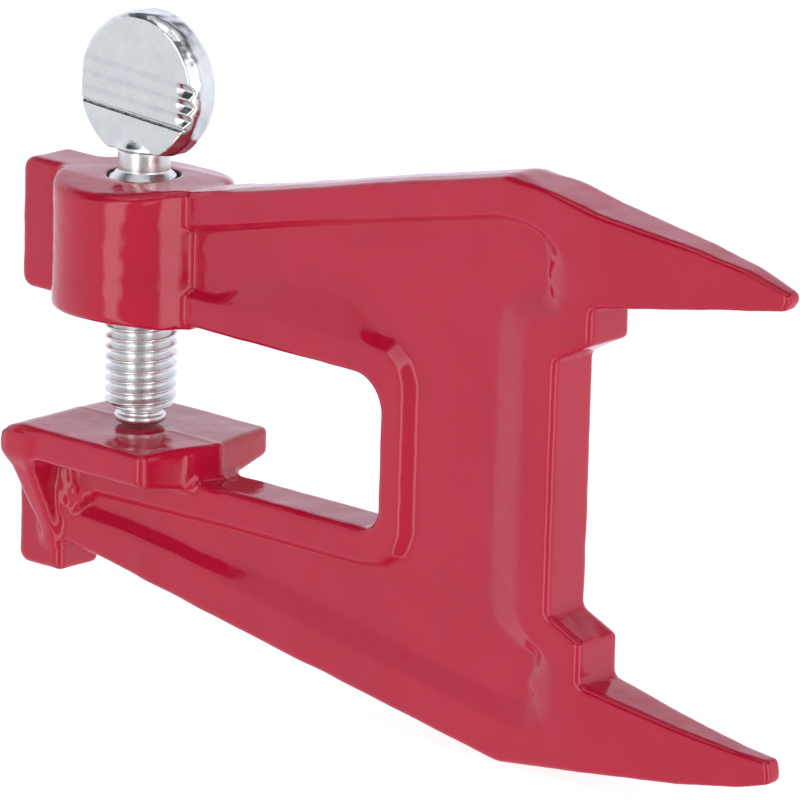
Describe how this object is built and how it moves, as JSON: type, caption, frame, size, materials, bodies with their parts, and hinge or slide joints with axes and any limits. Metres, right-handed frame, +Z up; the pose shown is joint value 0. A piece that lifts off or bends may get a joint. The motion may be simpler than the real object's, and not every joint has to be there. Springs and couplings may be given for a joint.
{
  "type": "stump vise",
  "caption": "Cast C-frame vise for filing a saw chain: two spikes drive into a log, and a thumb screw clamps the guide bar down on a small anvil.",
  "frame": {"origin": "where the clamp screw's axis crosses the level of the anvil plate's long edges, under the screw's tip", "axes": "+Z up along the clamp screw, +X from the screw towards the points of the spikes, Y across the frame's thickness with the parting plane at Y = 0"},
  "size_m": [0.1332, 0.025, 0.0902],
  "materials": {
    "painted_casting": "thick gloss crimson enamel over cast iron",
    "zinc_plated_steel": "bright zinc plate over turned and rolled steel",
    "zinc_plated_head": "bright zinc plate over forged steel, faintly dimpled"
  },
  "bodies": {
    "casting": {"vise_casting": "painted_casting"},
    "screw_point": {"pressure_tip": "zinc_plated_steel"},
    "screw": {"clamp_screw": "zinc_plated_steel", "thumb_head": "zinc_plated_head"}
  },
  "joints": [
    {"name": "tip_travel", "type": "slide", "parent": "casting", "child": "screw_point", "axis": [0, 0, 1], "range_m": [-0.0004, 0.016]},
    {"name": "screw_turn", "type": "hinge", "parent": "screw_point", "child": "screw", "pos_m": [0, 0, 0.02], "axis": [0, 0, 1], "range_deg": [-96, 3840]}
  ],
  "couplings": [
    {"joint": "screw_turn", "follows": "tip_travel", "rad_per_m": 4188.8}
  ]
}
